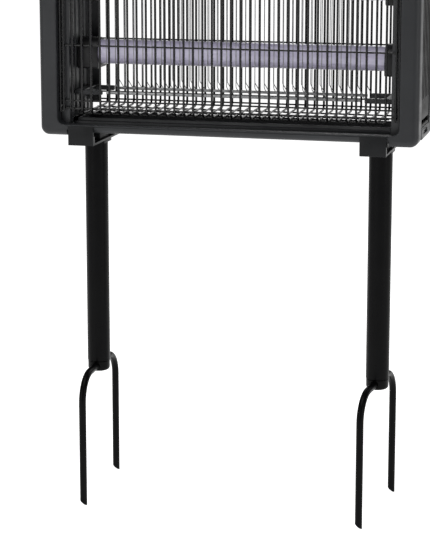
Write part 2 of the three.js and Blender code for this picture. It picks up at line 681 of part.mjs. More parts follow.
// The bail lies back on the top cover; its ends turn inwards into the lugs, and it swings about them
function hangingBail() {
  const { halfWidth, height, bend, rod, endInset } = BAIL;
  const endX = halfWidth - endInset;
  return bentRod([
    new THREE.Vector3(-endX, 0, 0),
    new THREE.Vector3(-halfWidth, 0, 0),
    new THREE.Vector3(-halfWidth, height, 0),
    new THREE.Vector3(halfWidth, height, 0),
    new THREE.Vector3(halfWidth, 0, 0),
    new THREE.Vector3(endX, 0, 0),
  ], bend, rod, 3);
}

addMesh('bail_lug_left', bailLug(-1), 'satinBlack');
addMesh('bail_lug_right', bailLug(1), 'satinBlack');
addMesh('hanging_bail', hangingBail(), 'steel').position.z = BAIL_Z;

// Leg clip: a bent sheet channel that hooks over both bottom rails, with a post for the leg
function legClip(side) {
  const { width, sheet, top, bottom, shelf, lip } = CLIP;
  const inner = HOUSING.halfDepth + GAP;
  const outer = inner + sheet;
  const mouth = inner - lip;
  const shape = outline([
    [-outer, bottom], [outer, bottom], [outer, top], [inner, top], [inner, shelf], [mouth, shelf],
    [mouth, bottom + sheet], [-mouth, bottom + sheet], [-mouth, shelf], [-inner, shelf],
    [-inner, top], [-outer, top],
  ]);
  const channel = extrudeX(shape, -width / 2, width / 2);
  const post = block(-POST.halfWidth, POST.halfWidth, -POST.halfDepth, POST.halfDepth,
    bottom + sheet / 2, POST.top);
  return cut(join(channel, post), screwHole(bottom)).translate(side * LEG.x, 0, 0);
}

function screwHole(z) {
  const length = 3 * (POST.top - LEG_SCREW.foot);
  return new THREE.CylinderGeometry(LEG_SCREW.hole, LEG_SCREW.hole, length, 12).rotateX(Math.PI / 2)
    .translate(0, 0, z);
}

// Collar: a flange under the clip with a spigot that fills the top of the leg tube
function legCollar(side) {
  const { height, halfWidth, spigot, spigotRadius } = COLLAR;
  const top = CLIP.bottom - GAP;
  const flange = block(-halfWidth, halfWidth, -halfWidth, halfWidth, top - height, top);
  const plug = turnedAlongZ([[0, LEG.top - spigot], [spigotRadius, LEG.top - spigot],
    [spigotRadius, top - 1], [0, top - 1]]);
  return cut(join(flange, plug), screwHole(top)).translate(side * LEG.x, 0, 0);
}

// Machine screw up through the collar into the clip's post
function legScrew(side) {
  const { radius, head, foot } = LEG_SCREW;
  const profile = [[0, foot], [radius, foot], [radius, head], [0, head]];
  return turnedAlongZ(profile, 10).translate(side * LEG.x, 0, 0);
}

// Leg: a straight steel tube
function legTube(side) {
  const { outerRadius, wall, bottom, top } = LEG;
  const inner = outerRadius - wall;
  const profile = [[inner, bottom], [outerRadius, bottom], [outerRadius, top], [inner, top], [inner, bottom]];
  return turnedAlongZ(profile, 20).translate(side * LEG.x, 0, 0);
}

// End plug: fills the foot of the tube and is cross-drilled for the fork
function legPlug(sideName, side) {
  const { rimInset, taper, below, insert, boreTurn } = PLUG;
  const inner = LEG.outerRadius - LEG.wall - GAP;
  const rim = LEG.outerRadius - rimInset;
  const foot = FORK.crossZ - FORK.rod - below;
  const shoulder = LEG.bottom - GAP;
  const top = LEG.bottom + insert;
  const profile = [[0, foot], [inner - 1, foot], [rim, foot + taper], [rim, shoulder],
    [inner, shoulder], [inner, top], [0, top]];
  const body = turnedAlongZ(profile, 20);
  const bore = new THREE.CylinderGeometry(FORK.rod + GAP, FORK.rod + GAP, 4 * LEG.outerRadius, 14)
    .rotateY(boreTurn).translate(0, 0, FORK.crossZ);
  return cut(body, bore).rotateZ(LEG_TURN[sideName]).translate(side * LEG.x, 0, 0);
}

// Ground fork: one rod bent into a U, with slanted points
function groundFork(sideName, side) {
  const { rod, tineY, bend, crossZ, tipSlope } = FORK;
  const fork = bentRod([
    new THREE.Vector3(0, -tineY, 0),
    new THREE.Vector3(0, -tineY, crossZ),
    new THREE.Vector3(0, tineY, crossZ),
    new THREE.Vector3(0, tineY, 0),
  ], bend, rod, 5);
  const reach = 12 * rod;
  const points = [-1, 1].map((way) => {
    const tool = new THREE.BoxGeometry(reach, reach, reach).translate(0, 0, -reach / 2);
    return tool.rotateY(Math.atan(tipSlope)).translate(0, way * tineY, rod * ROD_FLAT * tipSlope);
  });
  return cut(fork, ...points).rotateZ(LEG_TURN[sideName]).translate(side * LEG.x, 0, 0);
}

for (const [sideName, side] of SIDES) {
  addMesh(`leg_clip_${sideName}`, legClip(side), 'powderCoat');
  addMesh(`leg_collar_${sideName}`, legCollar(side), 'powderCoat');
  addMesh(`leg_screw_${sideName}`, legScrew(side), 'steel');
  addMesh(`leg_tube_${sideName}`, legTube(side), 'powderCoat');
  addMesh(`leg_plug_${sideName}`, legPlug(sideName, side), 'powderCoat');
  addMesh(`ground_fork_${sideName}`, groundFork(sideName, side), 'powderCoat');
}

// Screws that hold the rear bezel, their heads below its face
const SCREW_PROFILE = [[0, -SCREW.length], [SCREW.shank, -SCREW.length], [SCREW.shank, GAP - SCREW_HOLE.sunk],
  [SCREW.head, GAP - SCREW_HOLE.sunk], [SCREW.head, -2 * GAP], [SCREW.head / 2, -GAP], [0, -GAP]];

for (const place of SCREW_PLACES) addMesh(place.name, turnedAtScrew(SCREW_PROFILE, place), 'steel');

export default object;
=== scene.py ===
"""Looks of the electric bug zapper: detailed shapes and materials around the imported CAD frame.
Metres, Z up; the front faces -Y."""
import json
import math
import bmesh
import bpy
from mathutils import Matrix, Vector


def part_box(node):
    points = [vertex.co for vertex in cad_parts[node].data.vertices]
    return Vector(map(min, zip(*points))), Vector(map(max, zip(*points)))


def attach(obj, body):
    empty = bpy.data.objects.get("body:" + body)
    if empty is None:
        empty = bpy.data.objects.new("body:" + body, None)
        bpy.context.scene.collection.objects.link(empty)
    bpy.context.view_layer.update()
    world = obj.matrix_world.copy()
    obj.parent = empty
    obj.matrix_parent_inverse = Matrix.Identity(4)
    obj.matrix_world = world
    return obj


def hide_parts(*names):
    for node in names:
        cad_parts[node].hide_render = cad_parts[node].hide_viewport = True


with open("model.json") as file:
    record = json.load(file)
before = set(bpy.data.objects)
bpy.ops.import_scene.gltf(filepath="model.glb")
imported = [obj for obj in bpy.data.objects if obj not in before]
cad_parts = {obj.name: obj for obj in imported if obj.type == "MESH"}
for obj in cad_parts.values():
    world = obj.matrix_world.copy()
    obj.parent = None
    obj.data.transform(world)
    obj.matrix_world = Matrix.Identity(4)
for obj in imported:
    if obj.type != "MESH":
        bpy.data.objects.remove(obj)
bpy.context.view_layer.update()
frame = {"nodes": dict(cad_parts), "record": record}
NODES = frame["nodes"]
SLOT_OF = {part["node"]: part["material_slot"] for part in frame["record"]["subparts"]}
BODY_OF = {node: body for body, nodes in frame["record"]["behaviour"]["bodies"].items() for node in nodes}
MM = 0.001
SIDES = (("left", -1), ("right", 1))
LEVELS = ("lower", "upper")
GAP = 0.3 * MM  # between neighbours that don't touch
NEAR, TINY = 1e-6, 1e-7  # in metres: points closer than this are one, or lie on the axis or plane


# ---------------------------------------------------------------- camera, light and stage

def add_camera():
    """The viewing angle: to the object's right, a little above, looking down."""
    azimuth, pitch, distance = math.radians(14.14), math.radians(10.45), 1.979
    lens, shift = 124.9, -0.12
    target = Vector((-0.0229, 0, 0.3245))
    level = math.cos(pitch)
    back = Vector((math.sin(azimuth) * level, -math.cos(azimuth) * level, math.sin(pitch)))
    data = bpy.data.cameras.new("camera")
    data.lens = lens
    data.shift_y = shift
    camera = bpy.data.objects.new("camera", data)
    camera.location = target + back * distance
    camera.rotation_euler = (-back).to_track_quat("-Z", "Y").to_euler()
    bpy.context.scene.collection.objects.link(camera)
    bpy.context.scene.camera = camera


def add_area_light(name, place, aim, size, power):
    data = bpy.data.lights.new(name, "AREA")
    data.shape = "RECTANGLE"
    data.size, data.size_y = size
    data.energy = power
    light = bpy.data.objects.new(name, data)
    light.location = place
    light.rotation_euler = (Vector(aim) - Vector(place)).to_track_quat("-Z", "Y").to_euler()
    bpy.context.scene.collection.objects.link(light)


def add_lights():
    """Soft light from above, from the front left, from the right and from behind."""
    add_area_light("overhead", (-0.2, -0.5, 1.9), (0, 0, 0.5), (1.4, 0.9), 14)
    add_area_light("front", (-1.2, -2.2, 1.1), (0, 0, 0.4), (1.2, 1.6), 16)
    add_area_light("right", (2.0, -0.9, 0.9), (0.1, 0, 0.4), (0.8, 1.4), 9)
    add_area_light("back", (0.3, 1.9, 1.3), (0, 0, 0.5), (1.6, 1.2), 12)


def add_world():
    """White to look at, dimmer as a light, so that black plastic stays black."""
    as_light, as_seen = 0.14, 1.05
    world = bpy.data.worlds.new("studio")
    bpy.context.scene.world = world
    world.use_nodes = True
    tree = world.node_tree
    tree.nodes.clear()
    path = tree.nodes.new("ShaderNodeLightPath")
    mix = tree.nodes.new("ShaderNodeMixShader")
    out = tree.nodes.new("ShaderNodeOutputWorld")
    for socket, strength in ((1, as_light), (2, as_seen)):
        background = tree.nodes.new("ShaderNodeBackground")
        background.inputs["Color"].default_value = (1, 1, 1, 1)
        background.inputs["Strength"].default_value = strength
        tree.links.new(background.outputs[0], mix.inputs[socket])
    tree.links.new(path.outputs["Is Camera Ray"], mix.inputs["Fac"])
    tree.links.new(mix.outputs[0], out.inputs["Surface"])


def add_floor():
    """A large pale floor under the fork points."""
    half, shade, roughness, glow = 30, 0.88, 0.9, 0.95
    corners = [(-half, -half, 0), (half, -half, 0), (half, half, 0), (-half, half, 0)]
    floor = mesh_object("floor", corners, [(0, 1, 2, 3)])
    material, shader = new_material("floor_white")
    shader["Base Color"].default_value = (shade, shade, shade, 1)
    shader["Roughness"].default_value = roughness
    shader["Emission Color"].default_value = (1, 1, 1, 1)
    shader["Emission Strength"].default_value = glow
    floor.data.materials.append(material)


# ---------------------------------------------------------------- materials

def new_material(name):
    """A new material and its Principled shader's inputs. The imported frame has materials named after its
    slots, so these are named apart from them, and are never looked up by name."""
    material = bpy.data.materials.new(f"{name}_look")
    material.use_nodes = True
    return material, material.node_tree.nodes["Principled BSDF"].inputs


class Surface:
    """Node building for one material: textures in object space, in metres."""

    MIDDLE = (0.3, 0.7)  # the range that most of a noise lies in
    ROUGH = 0.55         # how much a noise's finer layers count

    def __init__(self, name):
        self.material, self.inputs = new_material(name)
        self.tree = self.material.node_tree
        self.place = self.tree.nodes.new("ShaderNodeTexCoord").outputs["Object"]
        self.height = None

    def noise(self, size, detail=3, stretch=(1, 1, 1)):
        """Noise whose features are about size metres, longer along an axis where stretch is over 1."""
        mapping = self.tree.nodes.new("ShaderNodeMapping")
        mapping.inputs["Scale"].default_value = [1 / s for s in stretch]
        self.tree.links.new(self.place, mapping.inputs["Vector"])
        texture = self.tree.nodes.new("ShaderNodeTexNoise")
        texture.inputs["Scale"].default_value = 1 / size
        texture.inputs["Detail"].default_value = detail
        texture.inputs["Roughness"].default_value = self.ROUGH
        self.tree.links.new(mapping.outputs[0], texture.inputs["Vector"])
        return texture.outputs["Fac"]

    def cells(self, size):
        """Cells about size metres across."""
        texture = self.tree.nodes.new("ShaderNodeTexVoronoi")
        texture.inputs["Scale"].default_value = 1 / size
        self.tree.links.new(self.place, texture.inputs["Vector"])
        return texture.outputs["Distance"]

    def ramp(self, value, low, high, start=0.0, end=1.0):
        """Maps value from [low, high] to [start, end], clamped."""
        node = self.tree.nodes.new("ShaderNodeMapRange")
        node.inputs["From Min"].default_value = low
        node.inputs["From Max"].default_value = high
        node.inputs["To Min"].default_value = start
        node.inputs["To Max"].default_value = end
        self.tree.links.new(value, node.inputs["Value"])
        return node.outputs["Result"]

    def set(self, name, value):
        """Sets a shader input to a number."""
        self.inputs[name].default_value = value

    def colour(self, texture, low, high, dark, light):
        """Colours the surface from dark to light, as the texture goes from low to high."""
        node = self.tree.nodes.new("ShaderNodeMix")
        node.data_type = "RGBA"
        self.tree.links.new(self.ramp(texture, low, high), node.inputs["Factor"])
        for name, value in (("A", dark), ("B", light)):
            socket = next(item for item in node.inputs if item.name == name and item.type == "RGBA")
            socket.default_value = (*value, 1)
        mixed = next(item for item in node.outputs if item.type == "RGBA")
        self.tree.links.new(mixed, self.inputs["Base Color"])

    def roughen(self, texture, smoothest, dullest):
        """Varies the roughness between two values with the texture."""
        self.tree.links.new(self.ramp(texture, *self.MIDDLE, smoothest, dullest), self.inputs["Roughness"])

    def bump(self, height, depth, strength):
        """Adds a bump layer of that depth in metres on top of the earlier ones."""
        node = self.tree.nodes.new("ShaderNodeBump")
        node.inputs["Strength"].default_value = strength
        node.inputs["Distance"].default_value = depth
        self.tree.links.new(height, node.inputs["Height"])
        if self.height is not None:
            self.tree.links.new(self.height, node.inputs["Normal"])
        self.height = node.outputs["Normal"]
        self.tree.links.new(self.height, self.inputs["Normal"])


def plastic(name, dark, light, roughness, grain=0.0009):
    """Moulded satin plastic: fine spark-eroded grain, faint flow marks, dust and handling sheen."""
    surface = Surface(name)
    surface.colour(surface.noise(0.045, detail=5), 0.35, 0.7, dark, light)
    surface.roughen(surface.noise(0.012, detail=4, stretch=(3, 3, 1)), roughness - 0.05, roughness + 0.07)
    surface.set("Specular IOR Level", 0.3)
    surface.bump(surface.noise(grain, detail=2), 0.00003, 0.6)
    surface.bump(surface.cells(grain * 2.2), 0.00002, 0.5)
    surface.bump(surface.noise(0.03, detail=1), 0.0002, 0.25)
    return surface.material


def powder_coat(name, dark, light):
    """Black powder coating on steel: orange-peel surface, slightly glossier where it is thick."""
    surface = Surface(name)
    surface.colour(surface.noise(0.02, detail=4), 0.3, 0.75, dark, light)
    surface.roughen(surface.noise(0.008), 0.26, 0.36)
    surface.set("Specular IOR Level", 0.05)
    surface.set("Coat Weight", 0.02)
    surface.set("Coat Roughness", 0.22)
    surface.bump(surface.noise(0.0016, detail=2), 0.00006, 0.5)
    surface.bump(surface.cells(0.0011), 0.00002, 0.35)
    return surface.material


def dipped_wire(name, dark, light):
    """Gloss black coating on welded guard wire."""
    surface = Surface(name)
    surface.colour(surface.noise(0.006), 0.35, 0.7, dark, light)
    surface.roughen(surface.noise(0.004, detail=4), 0.2, 0.32)
    surface.set("Specular IOR Level", 0.25)
    surface.set("Coat Weight", 0.15)
    surface.set("Coat Roughness", 0.12)
    surface.bump(surface.noise(0.0022, detail=2), 0.00008, 0.5)
    return surface.material


def bare_steel(name, dark, light, roughness, stretch=(1, 1, 6)):
    """Drawn or plated metal: fine scratches along the drawing direction and dull patches."""
    surface = Surface(name)
    surface.colour(surface.noise(0.01, detail=5), 0.3, 0.72, dark, light)
    surface.set("Metallic", 0.9)
    scratches = surface.noise(0.0012, detail=4, stretch=stretch)
    surface.roughen(scratches, roughness - 0.08, roughness + 0.1)
    surface.bump(scratches, 0.00002, 0.5)
    return surface.material


def lamp_glass(name, dark, light):
    """Smooth glass over a lavender phosphor coat that thins and darkens a little in places."""
    surface = Surface(name)
    surface.colour(surface.noise(0.02, detail=5, stretch=(4, 1, 1)), 0.3, 0.72, dark, light)
    surface.roughen(surface.noise(0.005), 0.3, 0.4)
    surface.set("Coat Weight", 1.0)
    surface.set("Coat Roughness", 0.05)
    surface.bump(surface.noise(0.0015, detail=2), 0.00001, 0.4)
    return surface.material


def circuit_board(name, dark, light):
    """Green lacquer over raised traces."""
    surface = Surface(name)
    traces = surface.cells(0.006)
    surface.colour(traces, 0.3, 0.34, dark, light)
    surface.roughen(surface.noise(0.003), 0.3, 0.45)
    surface.bump(traces, 0.0001, 0.4)
    return surface.material


def make_materials():
    """One material for each of the record's slots, and the clips' own: a lighter copy of the legs' powder
    coat, whose extra lightness is a painted reflection.
    """
    recipes = {
        "frame_plastic": (plastic, (0.0105, 0.0114, 0.0130), (0.0145, 0.0156, 0.0176), 0.42),
        "side_plastic": (plastic, (0.0042, 0.0041, 0.0037), (0.0060, 0.0058, 0.0053), 0.55),
        "inner_plastic": (plastic, (0.0220, 0.0230, 0.0248), (0.0300, 0.0312, 0.0334), 0.4),
        "socket_plastic": (plastic, (0.008, 0.008, 0.0085), (0.012, 0.012, 0.0125), 0.38),
        "white_plastic": (plastic, (0.70, 0.69, 0.65), (0.80, 0.79, 0.75), 0.45),
        "switch_red": (plastic, (0.28, 0.012, 0.010), (0.36, 0.016, 0.012), 0.25, 0.0005),
        "guard_wire": (dipped_wire, (0.002, 0.002, 0.0023), (0.004, 0.004, 0.0043)),
        # the clips' coating is the legs' powder coat made lighter: a painted reflection of the lights on the
        # clips' flat faces
        "clip_coating_painted_reflection": (powder_coat, (0.0120, 0.0124, 0.0130), (0.0165, 0.0170, 0.0178)),
        "leg_coating": (powder_coat, (0.0016, 0.0016, 0.0018), (0.0028, 0.0028, 0.0030)),
        "grid_steel": (bare_steel, (0.20, 0.203, 0.206), (0.36, 0.363, 0.366), 0.34),
        "cap_aluminium": (bare_steel, (0.55, 0.555, 0.56), (0.68, 0.685, 0.69), 0.3, (6, 1, 1)),
        "plated_steel": (bare_steel, (0.40, 0.405, 0.40), (0.54, 0.545, 0.54), 0.3, (1, 1, 1)),
        "lamp_glass": (lamp_glass, (0.50, 0.465, 0.63), (0.60, 0.57, 0.72)),
        "circuit_board": (circuit_board, (0.02, 0.11, 0.05), (0.03, 0.16, 0.07)),
    }
    return {name: build(name, *values) for name, (build, *values) in recipes.items()}


# ---------------------------------------------------------------- mesh building

def show(name, mesh):
    """A new object in the scene."""
    shown = bpy.data.objects.new(name, mesh)
    bpy.context.scene.collection.objects.link(shown)
    return shown


def mesh_object(name, vertices, faces):
    mesh = bpy.data.meshes.new(name)
    mesh.from_pydata([tuple(v) for v in vertices], [], faces)
    mesh.update()
    return show(name, mesh)


def object_from(name, work):
    """A new object from a bmesh, which is used up."""
    mesh = bpy.data.meshes.new(name)
    work.to_mesh(mesh)
    work.free()
    return show(name, mesh)


def drop(piece):
    mesh = piece.data
    bpy.data.objects.remove(piece)
    if mesh.users == 0:
        bpy.data.meshes.remove(mesh)


def apply_modifiers(piece):
    """Bakes the piece's modifiers into its mesh."""
    graph = bpy.context.evaluated_depsgraph_get()
    done = bpy.data.meshes.new_from_object(piece.evaluated_get(graph))
    old = piece.data
    piece.modifiers.clear()
    piece.data = done
    bpy.data.meshes.remove(old)


def smooth(piece, angle=35):
    """Smooth shading, with creases where faces meet at more than the angle in degrees."""
    mesh = piece.data
    work = bmesh.new()
    work.from_mesh(mesh)
    bmesh.ops.recalc_face_normals(work, faces=work.faces)
    for face in work.faces:
        face.smooth = True
    for edge in work.edges:
        edge.smooth = len(edge.link_faces) == 2 and edge.calc_face_angle(0) < math.radians(angle)
    work.to_mesh(mesh)
    work.free()


def bevel(piece, width, segments=3, angle=30):
    """Rounds the edges where the piece's faces meet at more than the angle in degrees."""
    modifier = piece.modifiers.new("edges", "BEVEL")
    modifier.width = width
    modifier.segments = segments
    modifier.limit_method = "ANGLE"
    modifier.angle_limit = math.radians(angle)
    modifier.use_clamp_overlap = True
    modifier.miter_outer = "MITER_ARC"
    apply_modifiers(piece)


def combine(piece, tools, operation="DIFFERENCE"):
    """Boolean of the piece with each tool; the tools are used up."""
    for tool in tools:
        modifier = piece.modifiers.new("combine", "BOOLEAN")
        modifier.operation = operation
        modifier.solver = "EXACT"
        modifier.object = tool
    apply_modifiers(piece)
    for tool in tools:
        drop(tool)


def joined(name, *pieces):
    """The pieces as one mesh object."""
    work = bmesh.new()
    for piece in pieces:
        work.from_mesh(piece.data)
        drop(piece)
    return object_from(name, work)


def take_side(piece, side):
    """Smooths a piece made for the right side, after mirroring it if its place is on the left."""
    if side < 0:
        piece.data.transform(Matrix.Scale(-1, 4, (1, 0, 0)))
    smooth(piece)


def middle(node):
    """The centre of a CAD node's box."""
    low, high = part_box(node)
    return [(a + b) / 2 for a, b in zip(low, high)]


def stand_for(piece, node):
    """Gives a piece its body, material slot and finish from the CAD node that it replaces."""
    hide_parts(node)
    slot_name = SLOT_OF[node]
    piece.data.materials.clear()
    piece.data.materials.append(MATERIALS[slot_name])
    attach(piece, BODY_OF[node])


def refined(node, name, edge, segments=3, angle=30):
    """A CAD node's own shape as a clean mesh with rounded edges."""
    flat = math.radians(0.5)  # faces that meet at less than this become one
    work = bmesh.new()
    work.from_mesh(NODES[node].data)
    bmesh.ops.remove_doubles(work, verts=work.verts, dist=NEAR)
    bmesh.ops.dissolve_limit(work, angle_limit=flat, verts=work.verts, edges=work.edges)
    piece = object_from(name, work)
    bevel(piece, edge, segments, angle)
    smooth(piece)
    stand_for(piece, node)
    return piece


def tube_along(points, radius, sides):
    """Vertices and faces of a closed round tube through the points, ends capped."""
    vertices, faces = [], []
    first = (points[1] - points[0]).normalized()
    across = first.orthogonal().normalized()
    for i, point in enumerate(points):
        before = points[max(i - 1, 0)]
        after = points[min(i + 1, len(points) - 1)]
        along = (after - before).normalized()
        across = (across - along * across.dot(along)).normalized()
        up = along.cross(across)
        for k in range(sides):
            angle = 2 * math.pi * k / sides
            vertices.append(point + (across * math.cos(angle) + up * math.sin(angle)) * radius)
    for i in range(len(points) - 1):
        for k in range(sides):
            a, b = i * sides + k, i * sides + (k + 1) % sides
            faces.append((a, b, b + sides, a + sides))
    faces.append(tuple(range(sides - 1, -1, -1)))
    last = (len(points) - 1) * sides
    faces.append(tuple(range(last, last + sides)))
    return vertices, faces


def wires(name, runs):
    """One piece made of round wires; each run is (points, radius, sides)."""
    vertices, faces = [], []
    for points, radius, sides in runs:
        some_vertices, some_faces = tube_along(points, radius, sides)
        start = len(vertices)
        vertices += some_vertices
        faces += [tuple(start + i for i in face) for face in some_faces]
    piece = mesh_object(name, vertices, faces)
    smooth(piece, angle=50)
    return piece


def rounded_path(corners, bend, steps):
    """Points along straight stretches joined by arcs of that radius."""
    points = [corners[0]]
    for before, corner, after in zip(corners, corners[1:], corners[2:]):
        u, v = (before - corner).normalized(), (after - corner).normalized()
        half = u.angle(v) / 2
        reach = bend / math.tan(half)
        centre = corner + (u + v).normalized() * (bend / math.sin(half))
        start, end = corner + u * reach - centre, corner + v * reach - centre
        turn = start.angle(end)
        for i in range(steps + 1):
            t = i / steps
            spoke = (start * math.sin((1 - t) * turn) + end * math.sin(t * turn)) / math.sin(turn)
            points.append(centre + spoke)
    points.append(corners[-1])
    return points


def lathe(name, profile, axis, centre, segments):
    """A solid of revolution: profile is (radius, distance) pairs along the axis from the centre."""
    turn = {"X": Matrix.Rotation(math.pi / 2, 3, "Y"), "Y": Matrix.Rotation(-math.pi / 2, 3, "X"),
            "Z": Matrix.Identity(3)}[axis]
    vertices, faces, rings = [], [], []
    for radius, distance in profile:
        if radius < TINY:
            rings.append([len(vertices)])
            vertices.append(Vector((0, 0, distance)))
            continue
        rings.append(list(range(len(vertices), len(vertices) + segments)))
        for k in range(segments):
            angle = 2 * math.pi * k / segments
            vertices.append(Vector((radius * math.cos(angle), radius * math.sin(angle), distance)))
    closed = len(rings[0]) > 1
    pairs = list(zip(rings, rings[1:])) + ([(rings[-1], rings[0])] if closed else [])
    for one, two in pairs:
        for k in range(segments):
            j = (k + 1) % segments
            if len(one) == 1:
                faces.append((one[0], two[k], two[j]))
            elif len(two) == 1:
                faces.append((one[k], two[0], one[j]))
            else:
                faces.append((one[k], two[k], two[j], one[j]))
    piece = mesh_object(name, [turn @ v + Vector(centre) for v in vertices], faces)
    smooth(piece)
    return piece


def cylinder(name, radius, low, high, axis, centre, segments):
    """A plain cylinder along the axis, from low to high."""
    return lathe(name, [(0, low), (radius, low), (radius, high), (0, high)], axis, centre, segments)


def block(name, low, high):
    """A box between two corners; always bevelled or used as a tool."""
    (x0, y0, z0), (x1, y1, z1) = low, high
    vertices = [(x, y, z) for x in (x0, x1) for y in (y0, y1) for z in (z0, z1)]
    faces = [(0, 1, 3, 2), (4, 6, 7, 5), (0, 4, 5, 1), (2, 3, 7, 6), (0, 2, 6, 4), (1, 5, 7, 3)]
    return mesh_object(name, vertices, faces)


def prism(name, outline, low, high):
    """An outline of (y, z) points extruded along X."""
    count = len(outline)
    vertices = [(low, y, z) for y, z in outline] + [(high, y, z) for y, z in outline]
    faces = [(i, (i + 1) % count, count + (i + 1) % count, count + i) for i in range(count)]
    faces += [tuple(range(count - 1, -1, -1)), tuple(range(count, 2 * count))]
    piece = mesh_object(name, vertices, faces)
    work = bmesh.new()
    work.from_mesh(piece.data)
    bmesh.ops.recalc_face_normals(work, faces=work.faces)
    work.to_mesh(piece.data)
    work.free()
    return piece


def slice_off(piece, point, normal):
    """Cuts the piece at a plane, drops the side that the normal points to and caps the cut."""
    work = bmesh.new()
    work.from_mesh(piece.data)
    result = bmesh.ops.bisect_plane(work, geom=work.verts[:] + work.edges[:] + work.faces[:], dist=TINY,
                                    plane_co=point, plane_no=normal, clear_outer=True)
    rim = [item for item in result["geom_cut"] if isinstance(item, bmesh.types.BMEdge)]
    bmesh.ops.edgeloop_fill(work, edges=rim)
    work.to_mesh(piece.data)
    work.free()


def arc(cx, cy, radius, start, end, steps):
    """Points on a circle's arc, from angle start to end in degrees."""
    angles = [math.radians(start + (end - start) * i / steps) for i in range(steps + 1)]
    return [(cx + radius * math.cos(a), cy + radius * math.sin(a)) for a in angles]


def quarter_turn(steps):
    """Angles from 0 to a right angle."""
    return [math.pi / 2 * i / steps for i in range(steps + 1)]


def slot_outline(a, half_width, low, high):
    """A slot with round ends, centred on a, running from low to high."""
    steps = 8
    return (arc(a, high - half_width, half_width, 0, 180, steps)
            + arc(a, low + half_width, half_width, 180, 360, steps))


def rounded_loop(half_width, bottom, top, corner, y):
    """Points around a rounded rectangle in the plane at y."""
    steps = 10
    centres = ((half_width - corner, top - corner), (corner - half_width, top - corner),
               (corner - half_width, bottom + corner), (half_width - corner, bottom + corner))
    points = []
    for quarter, (cx, cz) in enumerate(centres):
        points += [(x, y, z) for x, z in arc(cx, cz, corner, 90 * quarter, 90 * quarter + 90, steps)]
    return points


def ring_of_loops(name, loops):
    """A closed ring: each loop is joined to the next, and the last to the first."""
    count = len(loops[0])
    faces = []
    for row in range(len(loops)):
        after = (row + 1) % len(loops)
        for i in range(count):
            j = (i + 1) % count
            faces.append((row * count + i, row * count + j, after * count + j, after * count + i))
    piece = mesh_object(name, [point for loop in loops for point in loop], faces)
    smooth(piece)
    return piece


# ---------------------------------------------------------------- housing

FRONT_LOW, FRONT_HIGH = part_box("front_bezel")
GUARD_LOW, GUARD_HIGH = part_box("front_guard")
COVER_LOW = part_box("left_side_cover")[0]
BASE = FRONT_LOW.z
TOP = FRONT_HIGH.z
HALF_WIDTH = FRONT_HIGH.x
FACE_Y = -FRONT_LOW.y
BEZEL_BACK = -FRONT_HIGH.y
CORNER = 9 * MM
RAIL_HALF, RAIL_RUN, RAIL_RISE = 169 * MM, 1 * MM, 3.2 * MM  # the raised middle of the bezels' underside
OPEN_HALF = GUARD_HIGH.x + GAP
OPEN_TOP = GUARD_HIGH.z + GAP
OPEN_BOTTOM = BASE + 11.5 * MM
OPEN_CORNER = 8 * MM
COVER_INSET = HALF_WIDTH + COVER_LOW.x  # how far the covers lie inside the bezels' outline
COVER_THICKNESS = 2.5 * MM
COVER_REACH = 182 * MM  # from the middle to the side covers' inner edges
OUTSIDE = 100 * MM      # clear of the housing's front and back
MARGIN = 10 * MM        # clear of its top and bottom
VENTS = (-22, -11, 0, 11, 22)  # the vent slots' places along the depth, in millimetres


def with_rail(loop, low, rise, y):
    """Adds the four points of the raised middle to a loop's underside."""
    at = max(i for i, point in enumerate(loop) if point[0] < 0 and point[2] < low + NEAR)
    foot = RAIL_HALF + RAIL_RUN
    added = [(-foot, y, low), (-RAIL_HALF, y, low + rise), (RAIL_HALF, y, low + rise), (foot, y, low)]
    return loop[:at + 1] + added + loop[at + 1:]


def house_loop(grown, y, rise=0.0):
    """The housing's outline in the plane at y, grown on all sides, its underside's middle raised by rise."""
    low = BASE - grown
    loop = rounded_loop(HALF_WIDTH + grown, low, TOP + grown, CORNER + grown, y)
    return with_rail(loop, low, rise, y)


def shell_loop(grown, y):
    """The bezels' outline, which has the raised middle."""
    return house_loop(grown, y, RAIL_RISE)


def open_loop(grown, y):
    """The opening's outline, with as many points as the bezels' own."""
    low = OPEN_BOTTOM - grown
    loop = rounded_loop(OPEN_HALF + grown, low, OPEN_TOP + grown, OPEN_CORNER + grown, y)
    return with_rail(loop, low, 0.0, y)


def bezel_ring(name):
    """A bezel facing front: rolled outer edge, flat face, rounded inner edge and a lip behind it."""
    front, back = -FACE_Y, -BEZEL_BACK
    round_over, wall, inner_edge, lip = 6.4 * MM, 2.5 * MM, 1.2 * MM, 11.5 * MM
    hold = 0.5 * MM  # a loop this close to an edge keeps the shading of the flat beside it
    rebate = 0.4 * MM  # shallow step around the back
    loops = [open_loop(0, front + inner_edge + hold), open_loop(0, front + inner_edge)]
    for angle in (15, 40, 65):
        turn = math.radians(angle)
        grown, behind = inner_edge * (1 - math.cos(turn)), inner_edge * (1 - math.sin(turn))
        loops.append(open_loop(grown, front + behind))
    loops += [open_loop(inner_edge, front), open_loop(inner_edge + hold, front)]
    loops.append(shell_loop(-round_over - hold, front))
    for turn in quarter_turn(steps=8):
        grown, behind = -round_over * (1 - math.sin(turn)), round_over * (1 - math.cos(turn))
        loops.append(shell_loop(grown, front + behind))
    loops += [shell_loop(0, front + round_over + hold), shell_loop(0, back - 2 * hold)]
    loops += [shell_loop(-rebate, back - hold), shell_loop(-rebate, back), shell_loop(-wall, back)]
    loops += [shell_loop(-wall, front + round_over), open_loop(wall, front + wall)]
    loops += [open_loop(wall, front + lip), open_loop(0, front + lip)]
    return ring_of_loops(name, loops)


REAR_SCREWS = [f"rear_screw_{level}_{side_name}" for level in LEVELS for side_name, _ in SIDES]


